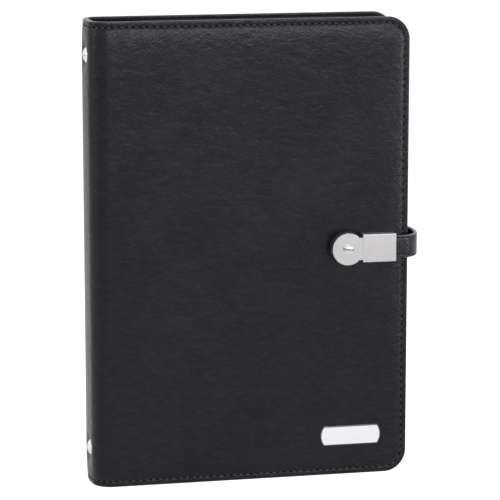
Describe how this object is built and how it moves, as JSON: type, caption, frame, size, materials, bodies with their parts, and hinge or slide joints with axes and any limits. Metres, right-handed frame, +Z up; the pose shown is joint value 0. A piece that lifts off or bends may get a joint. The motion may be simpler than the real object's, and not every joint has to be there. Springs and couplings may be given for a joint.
{
  "type": "power bank organizer",
  "caption": "Black ring organiser with a wrap-round strap, a plug-in metal clasp, a blank name plate, a six-ring refill and a flat power bank inside the back cover.",
  "frame": {"origin": "middle of the footprint at the lower edge of the closed, standing organiser", "axes": "+X towards the fore edge, +Y towards the back cover (the front cover faces -Y), +Z up along the spine"},
  "size_m": [0.1686, 0.0436, 0.235],
  "materials": {
    "cover_leather": "fine-grained black synthetic leather",
    "pocket_leather": "smooth black synthetic leather",
    "greyboard": "grey binder board",
    "lining_cloth": "dark woven lining",
    "chrome_plate": "bright plated",
    "nickel_steel": "nickel plated",
    "satin_steel": "satin",
    "bright_steel": "polished",
    "mirror_plate": "mirror polished",
    "black_plastic": "matt black",
    "magnet": "nickel plated magnet",
    "connector_steel": "drawn steel",
    "connector_plastic": "black",
    "paper": "uncoated paper",
    "refill_sheet": "translucent sheet",
    "bank_plastic": "fine matt black",
    "foam_tape": "foam tape",
    "cell_foil": "foil pouch",
    "circuit": "green laminate",
    "switch_plastic": "black",
    "button_plastic": "grey gloss",
    "light_lens": "clear lens"
  },
  "bodies": {
    "back_cover": {"back_leather": "cover_leather", "back_board": "greyboard", "back_lining": "lining_cloth", "back_pocket": "pocket_leather", "bank_pad": "foam_tape", "bank_case_base": "bank_plastic", "bank_case_lid": "bank_plastic", "bank_cell": "cell_foil", "bank_circuit": "circuit", "bank_switch": "switch_plastic", "charge_lights": "light_lens", "usb_sockets": "connector_steel", "usb_socket_tongues": "connector_plastic", "charge_socket": "connector_steel", "strap_tail": "cover_leather", "strap_root_bend": "cover_leather"},
    "spine": {"spine_leather": "cover_leather", "spine_board": "greyboard", "spine_lining": "lining_cloth", "back_fold_leather": "cover_leather", "back_fold_lining": "lining_cloth", "front_fold_leather": "cover_leather", "front_fold_lining": "lining_cloth", "spine_rivets": "chrome_plate", "ring_housing": "nickel_steel"},
    "front_cover": {"front_leather": "cover_leather", "front_board": "greyboard", "front_lining": "lining_cloth", "document_pocket": "pocket_leather", "card_pocket_rear": "pocket_leather", "card_pocket_middle": "pocket_leather", "card_pocket_front": "pocket_leather", "snap_base": "nickel_steel", "name_plate": "mirror_plate"},
    "strap": {"strap_middle": "cover_leather", "strap_tip_bend": "cover_leather"},
    "clasp": {"strap_end": "cover_leather", "clasp_sleeve": "satin_steel"},
    "usb_drive": {"usb_body": "black_plastic", "usb_face_plate": "satin_steel", "usb_screw": "bright_steel", "usb_magnet": "magnet", "usb_plug_shell": "connector_steel", "usb_plug_tongue": "connector_plastic"},
    "ring_front": {"ring_rail_front": "nickel_steel", "ring_rods_front": "chrome_plate"},
    "ring_back": {"ring_rail_back": "nickel_steel", "ring_rods_back": "chrome_plate"},
    "lever_top": {"ring_lever_top": "nickel_steel"},
    "lever_bottom": {"ring_lever_bottom": "nickel_steel"},
    "refill": {"refill_pages": "paper", "refill_front_sheet": "refill_sheet", "refill_back_sheet": "refill_sheet"},
    "bank_key": {"bank_button": "button_plastic"}
  },
  "joints": [
    {"name": "back_fold", "type": "hinge", "parent": "back_cover", "child": "spine", "pos_m": [-0.07946, 0.01671, 0.1175], "axis": [0, 0, -1], "range_deg": [0, 90], "deforming": ["back_fold_leather", "back_fold_lining"]},
    {"name": "front_fold", "type": "hinge", "parent": "spine", "child": "front_cover", "pos_m": [-0.07946, -0.01091, 0.1175], "axis": [0, 0, -1], "range_deg": [0, 90], "deforming": ["front_fold_leather", "front_fold_lining"]},
    {"name": "refill_turn", "type": "hinge", "parent": "spine", "child": "refill", "pos_m": [-0.06565, 0.0029, 0.1175], "axis": [0, 0, 1], "range_deg": [0, 90]},
    {"name": "ring_open", "type": "hinge", "parent": "spine", "child": "ring_front", "pos_m": [-0.07865, -0.0025, 0.1175], "axis": [0, 0, -1], "range_deg": [0, 9.5]},
    {"name": "ring_open_back", "type": "hinge", "parent": "spine", "child": "ring_back", "pos_m": [-0.07865, 0.0083, 0.1175], "axis": [0, 0, 1], "range_deg": [0, 9.5]},
    {"name": "lever_top_press", "type": "hinge", "parent": "spine", "child": "lever_top", "pos_m": [-0.07745, 0.0029, 0.2235], "axis": [0, -1, 0], "range_deg": [0, 14.25]},
    {"name": "lever_bottom_press", "type": "hinge", "parent": "spine", "child": "lever_bottom", "pos_m": [-0.07745, 0.0029, 0.0115], "axis": [0, 1, 0], "range_deg": [0, 14.25]},
    {"name": "strap_swing", "type": "hinge", "parent": "back_cover", "child": "strap", "pos_m": [0.08223, 0.01978, 0.1187], "axis": [0, 0, 1], "range_deg": [0, 90], "deforming": ["strap_root_bend"]},
    {"name": "clasp_lift", "type": "hinge", "parent": "strap", "child": "clasp", "pos_m": [0.08191, -0.016, 0.1187], "axis": [0, 0, 1], "range_deg": [0, 90], "deforming": ["strap_tip_bend"]},
    {"name": "usb_pull", "type": "slide", "parent": "clasp", "child": "usb_drive", "axis": [-1, 0, 0], "range_m": [0, 0.014]},
    {"name": "bank_press", "type": "slide", "parent": "back_cover", "child": "bank_key", "axis": [0, 1, 0], "range_m": [0, 0.0006], "stiffness_N_per_m": 2500}
  ],
  "couplings": [
    {"joint": "refill_turn", "follows": "back_fold", "ratio": 1},
    {"joint": "ring_open_back", "follows": "ring_open", "ratio": 1},
    {"joint": "lever_top_press", "follows": "ring_open", "ratio": 1.5},
    {"joint": "lever_bottom_press", "follows": "ring_open", "ratio": 1.5}
  ]
}
